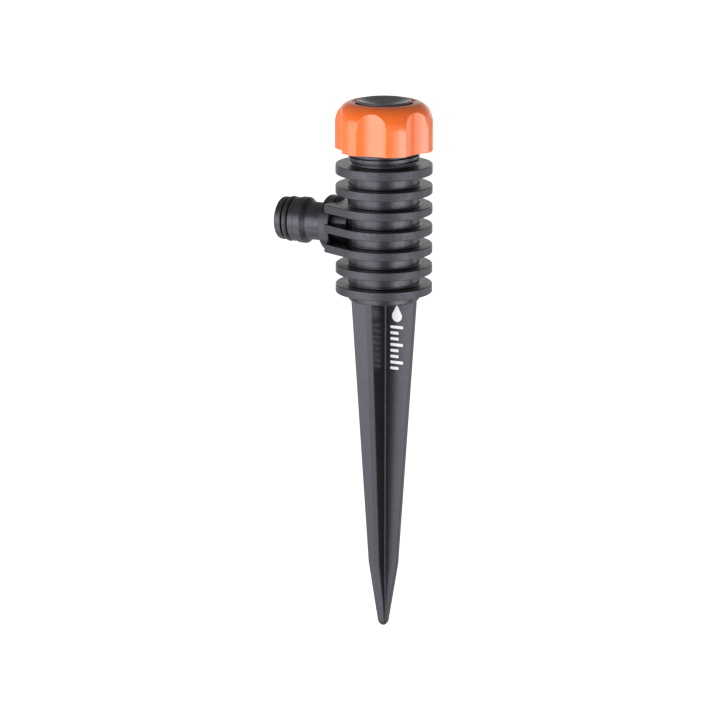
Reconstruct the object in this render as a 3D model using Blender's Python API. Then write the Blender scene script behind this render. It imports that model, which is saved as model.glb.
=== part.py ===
"""Turbine spray sprinkler on a ground spike.

A finned upright body takes water through a click-coupling nipple on its side. A swirl ring feeds the water
tangentially to a small turbine wheel, and it leaves at the top, between the rim of the spinning deflector disc
and the lip of a threaded ring nut. Screwing the nut up or down on the neck changes the throw.

Frame: +Z up along the body's axis, the nipple points to -X, and z = 0 is the underside of the spike's collar,
where the spike enters the ground. Sizes are in metres.
"""

from math import acos, atan2, cos, hypot, pi, radians, sin, sqrt

import bmesh
import bpy
from mathutils import Matrix

MM = 0.001
ROUND = 28  # sides of a large round piece
ROUND_SMALL = 24  # sides of a small round piece
GAP = 0.2 * MM  # between pieces that rest on each other
RUNNING_GAP = 0.1 * MM  # radial, around the shaft

# Body tube and its fins
TUBE_R = 13.4 * MM
FIN_R = 18.0 * MM
FIN_COUNT = 7
FIN_PITCH = 7.45 * MM
FIN_T = 3.2 * MM
TOP_FIN_T = 3.55 * MM
BODY_Z = 3.0 * MM  # underside of the lowest fin
WIDE_FINS = (2, 3, 4)  # counted from the lowest: these reach out to the inlet flange
WIDE_FIN_END = (-19.4 * MM, 11.0 * MM)  # front corner of a wide fin: x, and half its width in y

# Neck, with a G 3/4 thread
THREAD_PITCH = 1.814 * MM
THREAD_R = 13.2 * MM
THREAD_ROOT_R = 12.15 * MM
THREAD_TIP_W = 0.45 * MM
THREAD_BASE_W = 1.1 * MM
THREAD_SIDES = 20  # segments in one turn
NECK_THREAD_Z = (52.6 * MM, 61.0 * MM)
SPIGOT_R = 11.7 * MM
NECK_TOP_Z = 68.2 * MM

# Bore of the body: chamber, riser and the seat of the upper guide
CHAMBER_R = 11.0 * MM
CHAMBER_TOP_Z = 38.0 * MM
RISER_R = 8.8 * MM
GUIDE_SEAT_Z = 57.0 * MM
GUIDE_SEAT_R = 9.6 * MM
SNAP_GROOVE_R = 10.0 * MM
SNAP_GROOVE_Z = (61.5 * MM, 62.8 * MM)

# Inlet, along -X
INLET_Z = 27.0 * MM
FLANGE_R = 10.5 * MM
FLANGE_X = (18.1 * MM, 22.4 * MM)  # distances from the body's axis
PIPE_R = 7.6 * MM
SOCKET_R = 6.1 * MM
SOCKET_END_X = 16.5 * MM
PORT_R = 4.0 * MM
NIPPLE_END_X = 42.2 * MM

# Ring nut
NUT_SIDES = 36
NUT_R = 18.2 * MM
NUT_Z = (56.6 * MM, 74.3 * MM)
NUT_SHOULDER = (6.2 * MM, 8.0 * MM)  # width and height of the rounded shoulder
NUT_LIP_R = 10.55 * MM
NUT_LIP_Z = (72.7 * MM, 73.6 * MM)
NUT_BORE_R = 13.35 * MM
NUT_RIDGE_R = 12.45 * MM
NUT_THREAD_Z = (57.6 * MM, 63.0 * MM)
SEAL_GROOVE_R = 13.0 * MM
SEAL_GROOVE_Z = (63.9 * MM, 66.2 * MM)
NUT_UPPER_BORE_R = 12.0 * MM
NUT_ROOF_Z = 71.3 * MM
FLUTE_COUNT = 6
FLUTE_SIDES = 56
FLUTE_CUTTER_R = 15.5 * MM
FLUTE_VALLEY_R = 16.2 * MM
FLUTE_ANGLE = radians(-80.4)  # direction of the first flute, from +X

# Rotor
SHAFT_R = 1.45 * MM
SHAFT_Z = (9.9 * MM, 71.2 * MM)
BUSH_R = 2.6 * MM
DISC_R = 10.1 * MM
DISC_Z = 74.9 * MM
DISC_DISH = 1.8 * MM  # depth of the dished top

# Spike: height, length of a rib from the axis, and rib thickness
SPIKE_LEVELS = (
    (1.0 * MM, 13.15 * MM, 2.4 * MM),
    (0.0 * MM, 13.15 * MM, 2.4 * MM),
    (-102.5 * MM, 5.9 * MM, 2.0 * MM),
    (-117.0 * MM, 3.25 * MM, 2.7 * MM),
    (-125.2 * MM, 1.8 * MM, 2.3 * MM),
    (-126.7 * MM, 1.2 * MM, 1.5 * MM),
    (-127.4 * MM, 0.5 * MM, 0.6 * MM),
)
RIB_FILLET = 0.8 * MM
COLLAR_R = 13.25 * MM
PLUG_R = 10.75 * MM
PLUG_TOP_Z = 13.0 * MM
PEDESTAL_R = 4.3 * MM
PEDESTAL_TOP_Z = 17.0 * MM
PEDESTAL_HOLE_Z = 8.9 * MM
BASE_SEAL_Z = (6.4 * MM, 8.8 * MM)
BASE_SEAL_R = 9.2 * MM

# Swirl ring and turbine wheel
SWIRL_Z = (13.3 * MM, 37.7 * MM)
SWIRL_MANIFOLD_Z = (20.5 * MM, 33.5 * MM)
SWIRL_R = (8.6 * MM, 9.6 * MM, 10.75 * MM)  # bore, wall behind the manifold, lands
JET_COUNT = 6
JET_OFFSET = 7.6 * MM
JET_W = 1.8 * MM
JET_H = 8.0 * MM
WHEEL_R = 8.1 * MM
WHEEL_Z = (19.5 * MM, 33.0 * MM)
WHEEL_HUB_R = 3.0 * MM
WHEEL_HUB_TOP_Z = 35.0 * MM
BLADE_COUNT = 8
BLADE_T = 0.9 * MM

# Upper guide, a spoked ring in the neck
GUIDE_Z = (57.2 * MM, 61.2 * MM)
GUIDE_RING_R = (8.1 * MM, 9.4 * MM)
GUIDE_HUB_R = 3.9 * MM
GUIDE_HUB_Z = (56.4 * MM, 62.6 * MM)
SPOKE_COUNT = 4
SPOKE_W = 1.6 * MM


# ---------- materials ----------


def material(name, colour, roughness, metallic=0.0):
    made = bpy.data.materials.new(name)
    made.use_nodes = True
    shader = made.node_tree.nodes["Principled BSDF"]
    shader.inputs["Base Color"].default_value = (*colour, 1.0)
    shader.inputs["Roughness"].default_value = roughness
    shader.inputs["Metallic"].default_value = metallic
    return made


def make_materials():
    return {
        "black_plastic": material("black_plastic", (0.028, 0.028, 0.032), 0.42),
        "orange_plastic": material("orange_plastic", (0.86, 0.17, 0.02), 0.33),
        "disc_plastic": material("disc_plastic", (0.022, 0.022, 0.024), 0.28),
        "inner_plastic": material("inner_plastic", (0.62, 0.62, 0.58), 0.45),
        "rubber": material("rubber", (0.015, 0.015, 0.016), 0.55),
        "steel": material("steel", (0.56, 0.57, 0.58), 0.25, 1.0),
        "bush_plastic": material("bush_plastic", (0.74, 0.70, 0.58), 0.4),
    }


# ---------- mesh building ----------


def to_object(name, mesh_data, finish=None, location=(0, 0, 0), rotation=(0, 0, 0), sharp=radians(30)):
    """Turns a bmesh into a linked object with smooth round faces and sharp corners."""
    bmesh.ops.recalc_face_normals(mesh_data, faces=mesh_data.faces)
    mesh = bpy.data.meshes.new(name)
    mesh_data.to_mesh(mesh)
    mesh_data.free()
    mesh.shade_smooth()
    mesh.set_sharp_from_angle(angle=sharp)
    made = bpy.data.objects.new(name, mesh)
    made.location = location
    made.rotation_euler = rotation
    if finish:
        mesh.materials.append(finish)
    bpy.context.scene.collection.objects.link(made)
    return made


def as_helper(made):
    """A cutter, or a shape that another object takes in, is never a piece of its own."""
    made.hide_render = True
    made.display_type = "WIRE"
    return made


def combine(made, other, operation):
    """Cuts other from made, or joins it on. other becomes a helper."""
    step = made.modifiers.new(operation.lower(), "BOOLEAN")
    step.operation = operation
    step.object = as_helper(other)


def turned(outline, sides):
    """A turned piece about Z from (radius, height) points.

    A ring's outline closes on itself. A solid's starts and ends on the axis.
    """
    made = bmesh.new()
    corners = [made.verts.new((r, 0, z)) for r, z in outline]
    solid = outline[0][0] == 0 and outline[-1][0] == 0
    following = corners[1:] if solid else corners[1:] + corners[:1]
    edges = [made.edges.new(pair) for pair in zip(corners, following)]
    bmesh.ops.spin(
        made, geom=corners + edges, cent=(0, 0, 0), axis=(0, 0, 1), angle=2 * pi, steps=sides, use_merge=True
    )
    bmesh.ops.remove_doubles(made, verts=made.verts, dist=1e-7)
    return made


def lofted(loops, closed=False):
    """Skins loops of equal length in order. A closed stack returns to its start, and an open one is capped."""
    made = bmesh.new()
    rows = [[made.verts.new(point) for point in loop] for loop in loops]
    pairs = list(zip(rows, rows[1:]))
    if closed:
        pairs.append((rows[-1], rows[0]))
    for lower, upper in pairs:
        for i in range(len(lower)):
            j = (i + 1) % len(lower)
            made.faces.new((lower[i], lower[j], upper[j], upper[i]))
    if not closed:
        made.faces.new(rows[0])
        made.faces.new(rows[-1])
    return made


def box(low, high):
    made = bmesh.new()
    bmesh.ops.create_cube(made, size=1)
    for v in made.verts:
        v.co = [a + (b - a) * (c + 0.5) for a, b, c in zip(low, high, v.co)]
    return made


def merged(meshes):
    """One bmesh that holds several, for a cutter with a repeated shape."""
    made = bmesh.new()
    for part in meshes:
        held = bpy.data.meshes.new("held")
        part.to_mesh(held)
        part.free()
        made.from_mesh(held)
        bpy.data.meshes.remove(held)
    return made


def around(make, count, start=0.0):
    """Copies of the shape that make() returns, evenly spaced about Z."""
    copies = []
    for i in range(count):
        copy = make()
        turn = Matrix.Rotation(start + i * 2 * pi / count, 3, "Z")
        bmesh.ops.rotate(copy, verts=copy.verts, cent=(0, 0, 0), matrix=turn)
        copies.append(copy)
    return merged(copies)


def arc(centre, radii, start, end, count):
    """Points on a quarter-like arc of an ellipse, from one angle to another, both ends included."""
    steps = [start + (end - start) * i / count for i in range(count + 1)]
    return [(centre[0] + radii[0] * cos(a), centre[1] + radii[1] * sin(a)) for a in steps]


def thread_ridge(root_r, tip_r, heights, phase, sides):
    """A helical ridge of trapezium section. It fades out over its first and last quarter turn."""
    turns = (heights[1] - heights[0]) / THREAD_PITCH
    count = round(turns * sides)
    loops = []
    for i in range(count + 1):
        angle = phase + i * 2 * pi / sides
        z = heights[0] + i * THREAD_PITCH / sides
        grown = min(1.0, 0.15 + min(i, count - i) / (sides / 4))
        tip = root_r + (tip_r - root_r) * grown
        sunk = root_r - (tip_r - root_r) * 0.35
        section = (
            (sunk, z - THREAD_BASE_W / 2),
            (tip, z - THREAD_TIP_W / 2),
            (tip, z + THREAD_TIP_W / 2),
            (sunk, z + THREAD_BASE_W / 2),
        )
        loops.append([(r * cos(angle), r * sin(angle), height) for r, height in section])
    return lofted(loops)


def o_ring(inner_r, outer_r, z, sides=ROUND):
    """A rubber ring of round section, centred on height z."""
    section_r = (outer_r - inner_r) / 2
    centre = ((inner_r + outer_r) / 2, z)
    return turned(arc(centre, (section_r, section_r), 0, 2 * pi * 5 / 6, 5), sides)


# ---------- body housing ----------


def wide_fin_radius(angle):
    """Distance from the axis to the edge of a wide fin: a disc joined by tangents to its straight end."""
    end_x, half_w = WIDE_FIN_END
    reach = hypot(end_x, half_w)
    corner = atan2(half_w, end_x)
    tangent = corner - acos(FIN_R / reach)
    folded = abs(atan2(sin(angle), cos(angle)))
    if folded >= corner:
        return end_x / cos(folded)
    if folded >= tangent:
        return FIN_R / cos(folded - tangent)
    return FIN_R


def fin_angles():
    """Evenly spaced directions, with those of the wide fins' corners and tangents put in."""
    corner = atan2(WIDE_FIN_END[1], WIDE_FIN_END[0])
    tangent = corner - acos(FIN_R / hypot(*WIDE_FIN_END))
    even = [-pi + 2 * pi * i / ROUND for i in range(ROUND)]
    own = [corner, -corner, tangent, -tangent]
    clear = [a for a in even if all(abs(a - b) > radians(2.5) for b in own)]
    return sorted(clear + own)


def ring_loop(angles, radius, z):
    """One loop at height z. radius is a number, or a function of the direction."""
    of = radius if callable(radius) else (lambda angle: radius)
    return [(of(a) * cos(a), of(a) * sin(a), z) for a in angles]


def finned_tube():
    """Tube, fins, neck and stepped bore, skinned as one closed stack of loops."""
    angles = fin_angles()
    rows = []
    for i in range(FIN_COUNT):
        low = BODY_Z + i * FIN_PITCH
        high = low + (TOP_FIN_T if i == FIN_COUNT - 1 else FIN_T)
        edge = wide_fin_radius if i in WIDE_FINS else FIN_R
        if i > 0:
            rows.append((TUBE_R, low))
        rows += [(edge, low), (edge, high)]
        if i < FIN_COUNT - 1:
            rows.append((TUBE_R, high))
    rows += [
        (THREAD_ROOT_R, high),
        (THREAD_ROOT_R, NECK_THREAD_Z[1] + 0.5 * MM),
        (SPIGOT_R, NECK_THREAD_Z[1] + 0.9 * MM),
        (SPIGOT_R, NECK_TOP_Z - 0.4 * MM),
        (SPIGOT_R - 0.4 * MM, NECK_TOP_Z),
        (GUIDE_SEAT_R + 0.3 * MM, NECK_TOP_Z),
        (GUIDE_SEAT_R, NECK_TOP_Z - 0.3 * MM),
        (GUIDE_SEAT_R, SNAP_GROOVE_Z[1]),
        (SNAP_GROOVE_R, SNAP_GROOVE_Z[1]),
        (SNAP_GROOVE_R, SNAP_GROOVE_Z[0]),
        (GUIDE_SEAT_R, SNAP_GROOVE_Z[0]),
        (GUIDE_SEAT_R, GUIDE_SEAT_Z),
        (RISER_R, GUIDE_SEAT_Z),
        (RISER_R, CHAMBER_TOP_Z),
        (CHAMBER_R, CHAMBER_TOP_Z),
        (CHAMBER_R, BODY_Z),
    ]
    return lofted([ring_loop(angles, radius, z) for radius, z in rows], closed=True)


def inlet_turned(name, outline, sides=ROUND, finish=None):
    """A piece turned about the inlet's axis. Its heights are distances from the body's axis, towards -X."""
    return to_object(name, turned(outline, sides), finish, (0, 0, INLET_Z), (0, -pi / 2, 0))


def inlet_boss():
    """The pipe from the tube, and the round flange that the wide fins run into, with a pilot hole."""
    edge = 0.4 * MM
    pilot_r = PORT_R - 1 * MM
    root_x = TUBE_R - 1.2 * MM
    outline = [
        (pilot_r, root_x),
        (PIPE_R, root_x),
        (PIPE_R, FLANGE_X[0]),
        (FLANGE_R - edge, FLANGE_X[0]),
        (FLANGE_R, FLANGE_X[0] + edge),
        (FLANGE_R, FLANGE_X[1] - edge),
        (FLANGE_R - edge, FLANGE_X[1]),
        (pilot_r, FLANGE_X[1]),
    ]
    return inlet_turned("inlet_boss", outline)


def inlet_port():
    """The socket for the nipple's spigot, and the port from there into the chamber."""
    inside_x, outside_x = CHAMBER_R - 3 * MM, FLANGE_X[1] + 1 * MM
    outline = [
        (0, inside_x),
        (PORT_R, inside_x),
        (PORT_R, SOCKET_END_X),
        (SOCKET_R, SOCKET_END_X),
        (SOCKET_R, outside_x),
        (0, outside_x),
    ]
    return inlet_turned("inlet_port", outline, ROUND_SMALL)


def make_body_housing(finish):
    body = to_object("body_housing", finned_tube(), finish)
    ridge = thread_ridge(THREAD_ROOT_R, THREAD_R, NECK_THREAD_Z, 0, THREAD_SIDES)
    combine(body, inlet_boss(), "UNION")
    combine(body, inlet_port(), "DIFFERENCE")
    combine(body, to_object("neck_thread", ridge), "UNION")
    return body


# ---------- spike ----------


def cross_section(length, thickness, z):
    """A four-ribbed cross with its inner corners eased."""
    half = thickness / 2
    ease = min(RIB_FILLET, (length - half) / 2)
    quarter = [(length, -half), (length, half), (half + ease, half), (half, half + ease)]
    loop = []
    for turn in range(4):
        c, s = round(cos(turn * pi / 2)), round(sin(turn * pi / 2))
        loop += [(x * c - y * s, x * s + y * c, z) for x, y in quarter]
    return loop


def make_spike(finish):
    """The ribs, with a collar on top and a plug that closes the body's bore and holds the lower bush."""
    plug = turned(
        [
            (0, 0),
            (COLLAR_R - 0.3 * MM, 0),
            (COLLAR_R, 0.3 * MM),
            (COLLAR_R, BODY_Z - GAP),
            (PLUG_R, BODY_Z - GAP),
            (PLUG_R, BASE_SEAL_Z[0]),
            (BASE_SEAL_R, BASE_SEAL_Z[0]),
            (BASE_SEAL_R, BASE_SEAL_Z[1]),
            (PLUG_R, BASE_SEAL_Z[1]),
            (PLUG_R, PLUG_TOP_Z - 0.5 * MM),
            (PLUG_R - 0.5 * MM, PLUG_TOP_Z),
            (PEDESTAL_R, PLUG_TOP_Z),
            (PEDESTAL_R, PEDESTAL_TOP_Z),
            (BUSH_R + RUNNING_GAP, PEDESTAL_TOP_Z),
            (BUSH_R + RUNNING_GAP, PEDESTAL_HOLE_Z),
            (0, PEDESTAL_HOLE_Z),
        ],
        ROUND,
    )
    spike = to_object("spike", lofted([cross_section(length, t, z) for z, length, t in SPIKE_LEVELS]), finish)
    combine(spike, to_object("spike_plug", plug), "UNION")
    return spike


# ---------- inlet nipple ----------


def make_nipple(finish):
    """The male half of a click coupling: nose, seal groove, latch collar and neck, on a spigot."""
    nose_r = 8.05 * MM
    latch_r = 8.67 * MM
    neck_r = 7.15 * MM
    groove_r = 6.3 * MM
    spigot_r = SOCKET_R - GAP
    inner_groove_r = 5.0 * MM
    return inlet_turned(
        "inlet_nipple",
        [
            (PORT_R, NIPPLE_END_X),
            (PORT_R, SOCKET_END_X + GAP),
            (spigot_r, SOCKET_END_X + GAP),
            (spigot_r, 17.9 * MM),
            (inner_groove_r, 17.9 * MM),
            (inner_groove_r, 19.4 * MM),
            (spigot_r, 19.4 * MM),
            (spigot_r, FLANGE_X[1] + GAP),
            (neck_r, FLANGE_X[1] + GAP),
            (neck_r, 29.5 * MM),
            (latch_r, 31.2 * MM),
            (latch_r, 33.5 * MM),
            (nose_r, 34.1 * MM),
            (nose_r, 36.4 * MM),
            (groove_r, 36.4 * MM),
            (groove_r, 39.4 * MM),
            (nose_r, 39.4 * MM),
            (nose_r, NIPPLE_END_X - 0.7 * MM),
            (nose_r - 0.7 * MM, NIPPLE_END_X),
        ],
        ROUND_SMALL,
        finish,
    )


def make_inlet_seals(finish):
    """The coupling's own ring on the nose, and the ring that seals the spigot in its socket."""
    at = (0, 0, INLET_Z)
    outward = (0, -pi / 2, 0)
    to_object("nipple_o_ring", o_ring(6.4 * MM, 8.5 * MM, 37.9 * MM), finish, at, outward)
    to_object("socket_o_ring", o_ring(5.1 * MM, 5.95 * MM, 18.65 * MM, ROUND_SMALL), finish, at, outward)


# ---------- ring nut ----------


def flute_cutter():
    """One of the upright round cutters that hollow the nut's grips."""
    made = bmesh.new()
    height = NUT_Z[1] - NUT_Z[0] + 8 * MM
    radius = FLUTE_CUTTER_R
    bmesh.ops.create_cone(
        made, cap_ends=True, segments=FLUTE_SIDES, radius1=radius, radius2=radius, depth=height
    )
    away = FLUTE_VALLEY_R + FLUTE_CUTTER_R
    bmesh.ops.translate(made, verts=made.verts, vec=(away, 0, sum(NUT_Z) / 2))
    return made


def make_ring_nut(finish):
    """A domed nut with six flutes. Inside are its thread, the seal's groove and a smooth upper bore."""
    shoulder_w, shoulder_h = NUT_SHOULDER
    crest_r = NUT_R - shoulder_w
    outline = [
        (NUT_BORE_R + 0.4 * MM, NUT_Z[0]),
        (NUT_R - 0.25 * MM, NUT_Z[0]),
        (NUT_R, NUT_Z[0] + 0.25 * MM),
        *arc((crest_r, NUT_Z[1] - shoulder_h), (shoulder_w, shoulder_h), 0, pi / 2, 5),
        (NUT_LIP_R + 0.9 * MM, NUT_LIP_Z[1] + 0.25 * MM),
        (NUT_LIP_R, NUT_LIP_Z[1]),
        (NUT_LIP_R, NUT_LIP_Z[0]),
        (NUT_UPPER_BORE_R, NUT_ROOF_Z),
        (NUT_UPPER_BORE_R, SEAL_GROOVE_Z[1]),
        (SEAL_GROOVE_R, SEAL_GROOVE_Z[1]),
        (SEAL_GROOVE_R, SEAL_GROOVE_Z[0]),
        (NUT_BORE_R, SEAL_GROOVE_Z[0] - 0.4 * MM),
        (NUT_BORE_R, NUT_Z[0] + 0.4 * MM),
    ]
    nut = to_object("ring_nut", turned(outline, NUT_SIDES), finish)
    combine(nut, to_object("flutes", around(flute_cutter, FLUTE_COUNT, FLUTE_ANGLE)), "DIFFERENCE")
    # The nut's ridge runs in the middle of the neck's groove, half a turn away from the neck's own ridge.
    turns_above = (NUT_THREAD_Z[0] - NECK_THREAD_Z[0]) / THREAD_PITCH
    phase = 2 * pi * turns_above + pi
    ridge = thread_ridge(NUT_BORE_R, NUT_RIDGE_R, NUT_THREAD_Z, phase, THREAD_SIDES)
    combine(nut, to_object("nut_thread", ridge), "UNION")
    return nut


def make_nut_seal(finish):
    """The rubber ring that the nut carries up and down the neck's smooth spigot."""
    z = sum(SEAL_GROOVE_Z) / 2
    to_object("nut_seal_ring", o_ring(SPIGOT_R + 0.15 * MM, SEAL_GROOVE_R - 0.2 * MM, z), finish)


# ---------- stator pieces inside the body ----------


def make_swirl_ring(finish):
    """A sleeve with a manifold around it and six tangential jets that drive the wheel."""
    bore_r, wall_r, land_r = SWIRL_R
    ring = to_object(
        "swirl_ring",
        turned(
            [
                (bore_r, SWIRL_Z[0]),
                (land_r, SWIRL_Z[0]),
                (land_r, SWIRL_MANIFOLD_Z[0]),
                (wall_r, SWIRL_MANIFOLD_Z[0]),
                (wall_r, SWIRL_MANIFOLD_Z[1]),
                (land_r, SWIRL_MANIFOLD_Z[1]),
                (land_r, SWIRL_Z[1]),
                (bore_r, SWIRL_Z[1]),
            ],
            ROUND,
        ),
        finish,
    )

    def jet():
        low_z = INLET_Z - JET_H / 2
        return box((JET_OFFSET - JET_W / 2, 3 * MM, low_z), (JET_OFFSET + JET_W / 2, 9.5 * MM, low_z + JET_H))

    combine(ring, to_object("jets", around(jet, JET_COUNT)), "DIFFERENCE")


def sleeve(inner_r, outer_r, low_z, high_z, sides=ROUND_SMALL):
    """A plain tube, ring or washer about Z. With inner_r = 0 it is a disc."""
    return turned([(inner_r, low_z), (outer_r, low_z), (outer_r, high_z), (inner_r, high_z)], sides)


def make_upper_guide(finish):
    """A spoked ring whose hub holds the upper bush and lets the water rise between its spokes."""
    inner_r, outer_r = GUIDE_RING_R
    low, high = GUIDE_Z
    guide = to_object("upper_guide", sleeve(inner_r, outer_r, low, high, ROUND), finish)
    hub = sleeve(BUSH_R + RUNNING_GAP, GUIDE_HUB_R, *GUIDE_HUB_Z)

    def spoke():
        inset = 0.4 * MM
        near = (GUIDE_HUB_R - inset, -SPOKE_W / 2, low + inset)
        far = (inner_r + inset, SPOKE_W / 2, high - inset)
        return box(near, far)

    combine(guide, to_object("guide_spokes", around(spoke, SPOKE_COUNT, pi / 4)), "UNION")
    combine(guide, to_object("guide_hub", hub), "UNION")


def open_ring(name, inner_r, outer_r, heights, mouth, finish):
    """A flat spring ring with a gap in it, as wide as mouth."""
    low, high = heights
    made = to_object(name, sleeve(inner_r, outer_r, low, high), finish)
    cutter = box((0, -mouth / 2, low - 1 * MM), (outer_r + 2 * MM, mouth / 2, high + 1 * MM))
    combine(made, to_object(name + "_mouth", cutter), "DIFFERENCE")
    return made


def make_stator(finishes):
    rubber, inner, bush = finishes["rubber"], finishes["inner_plastic"], finishes["bush_plastic"]
    steel = finishes["steel"]
    seal_z = sum(BASE_SEAL_Z) / 2
    to_object("base_o_ring", o_ring(BASE_SEAL_R + 0.15 * MM, CHAMBER_R - 0.15 * MM, seal_z), rubber)
    make_swirl_ring(inner)
    to_object("lower_thrust_washer", sleeve(0, BUSH_R - 0.15 * MM, 9.1 * MM, 9.6 * MM), steel)
    bush_bore_r = SHAFT_R + RUNNING_GAP
    to_object("lower_bush", sleeve(bush_bore_r, BUSH_R, 10.0 * MM, 16.8 * MM), bush)
    make_upper_guide(inner)
    to_object("upper_bush", sleeve(bush_bore_r, BUSH_R, 56.5 * MM, 62.3 * MM), bush)
    open_ring("guide_snap_ring", 8.7 * MM, 9.8 * MM, (61.7 * MM, 62.6 * MM), 3 * MM, steel)


# ---------- rotor ----------


def make_turbine_wheel(finish):
    """Eight straight blades on a floor disc and a hub."""
    bore_r = SHAFT_R + RUNNING_GAP
    floor_z = WHEEL_Z[0] + 1.5 * MM
    hub = [
        (bore_r, WHEEL_Z[0] - 1 * MM),
        (WHEEL_HUB_R, WHEEL_Z[0] - 1 * MM),
        (WHEEL_HUB_R, WHEEL_Z[0]),
        (WHEEL_R, WHEEL_Z[0]),
        (WHEEL_R, floor_z),
        (WHEEL_HUB_R, floor_z),
        (WHEEL_HUB_R, WHEEL_HUB_TOP_Z),
        (bore_r, WHEEL_HUB_TOP_Z),
    ]
    wheel = to_object("turbine_wheel", turned(hub, ROUND_SMALL), finish)

    def blade():
        near = (WHEEL_HUB_R - 0.5 * MM, -BLADE_T / 2, floor_z - 0.5 * MM)
        far = (WHEEL_R - 0.4 * MM, BLADE_T / 2, WHEEL_Z[1])
        return box(near, far)

    combine(wheel, to_object("blades", around(blade, BLADE_COUNT)), "UNION")


def make_deflector_disc(finish):
    """The dished disc that shows in the nut's mouth, on a flared cone and hub."""
    rim_round = 0.45 * MM
    bowl_r = DISC_R - 0.9 * MM
    bowl = [(bowl_r * i / 4, DISC_Z - DISC_DISH * (1 - (i / 4) ** 2)) for i in range(4)]
    flare = [
        (3.2 * MM + (DISC_R - 4.2 * MM) * (i / 5) ** 2, 66.0 * MM + 6.9 * MM * sqrt(i / 5)) for i in range(6)
    ]
    outline = [
        (0, 71.5 * MM),
        (SHAFT_R + RUNNING_GAP, 71.5 * MM),
        (SHAFT_R + RUNNING_GAP, 64.0 * MM),
        (3.2 * MM, 64.0 * MM),
        *flare,
        (DISC_R, DISC_Z - 1.2 * MM),
        (DISC_R, DISC_Z - rim_round),
        (DISC_R - rim_round, DISC_Z),
        *reversed(bowl),
    ]
    to_object("deflector_disc", turned(outline, ROUND), finish)


def make_rotor(finishes):
    low, high = SHAFT_Z
    chamfer = 0.3 * MM
    shaft = [(0, low), (SHAFT_R - chamfer, low), (SHAFT_R, low + chamfer)]
    shaft += [(SHAFT_R, high - chamfer), (SHAFT_R - chamfer, high), (0, high)]
    to_object("rotor_shaft", turned(shaft, ROUND_SMALL), finishes["steel"])
    make_turbine_wheel(finishes["inner_plastic"])
    make_deflector_disc(finishes["disc_plastic"])
    hole_r = SHAFT_R + RUNNING_GAP
    clip_r, clip_mouth = 3.0 * MM, 1.8 * MM
    open_ring("wheel_clip", hole_r, clip_r, (35.3 * MM, 36.1 * MM), clip_mouth, finishes["steel"])
    open_ring("shaft_clip", hole_r, clip_r, (54.5 * MM, 55.3 * MM), clip_mouth, finishes["steel"])
    to_object("upper_thrust_washer", sleeve(hole_r, 3.3 * MM, 55.6 * MM, 56.1 * MM), finishes["steel"])


def main():
    for old in list(bpy.data.objects):
        bpy.data.objects.remove(old)
    finishes = make_materials()
    make_body_housing(finishes["black_plastic"])
    make_spike(finishes["black_plastic"])
    make_nipple(finishes["black_plastic"])
    make_inlet_seals(finishes["rubber"])
    make_stator(finishes)
    make_rotor(finishes)
    make_nut_seal(finishes["rubber"])
    make_ring_nut(finishes["orange_plastic"])


main()
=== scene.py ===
"""Looks of a turbine spray sprinkler on a ground spike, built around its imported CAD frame.

Every size is in millimetres until a piece becomes an object. The axes are the frame's own: +Z runs up the
body's axis, the nipple points to -X, and z = 0 is the underside of the spike's collar.
"""

from math import acos, atan2, ceil, cos, hypot, pi, radians, sin, sqrt, tan

import bmesh
import bpy
from mathutils import Matrix, Vector


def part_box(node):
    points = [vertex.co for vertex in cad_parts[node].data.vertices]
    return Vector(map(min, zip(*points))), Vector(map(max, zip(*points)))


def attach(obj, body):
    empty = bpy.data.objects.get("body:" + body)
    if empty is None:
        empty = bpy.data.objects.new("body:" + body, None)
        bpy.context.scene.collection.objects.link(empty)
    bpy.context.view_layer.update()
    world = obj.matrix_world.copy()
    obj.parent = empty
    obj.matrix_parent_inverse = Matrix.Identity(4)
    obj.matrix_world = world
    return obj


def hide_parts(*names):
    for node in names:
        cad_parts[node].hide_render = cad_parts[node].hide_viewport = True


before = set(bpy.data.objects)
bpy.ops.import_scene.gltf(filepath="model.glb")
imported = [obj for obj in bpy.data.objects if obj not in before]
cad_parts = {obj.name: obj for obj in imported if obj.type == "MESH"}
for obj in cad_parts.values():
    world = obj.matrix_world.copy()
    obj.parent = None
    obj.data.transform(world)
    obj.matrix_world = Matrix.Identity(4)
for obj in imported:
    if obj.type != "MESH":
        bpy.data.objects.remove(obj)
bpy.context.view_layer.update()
MM = 0.001


def box(node):
    """Lowest and highest corner of a CAD node at rest, in millimetres."""
    return [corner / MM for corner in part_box(node)]


BODY_LOW, BODY_HIGH = box("body_housing")
NIPPLE_LOW, NIPPLE_HIGH = box("inlet_nipple")
NUT_LOW, NUT_HIGH = box("ring_nut")
SPIKE_LOW = box("spike")[0]
DISC_HIGH = box("deflector_disc")[1]
GAP = 0.2  # between pieces that rest on each other

# Body tube and its fins
TUBE_R = 13.4
FIN_R = 18.0
FIN_COUNT = 7
FIN_PITCH = 7.45
FIN_T = 3.2
TOP_FIN_T = 3.55
BODY_Z = BODY_LOW.z  # underside of the lowest fin
WIDE_FINS = (2, 3, 4)  # counted from the lowest: these reach out to the inlet flange
WIDE_FIN_END = (19.4, 11.0)  # corner of a wide fin: distance towards -X, and half its width
WIDE_FIN_CORNER_R = 0.7
FIN_EDGE_R = 0.3
FIN_ROOT_R = 0.35
COLUMNS = 160  # sides of the body

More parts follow.
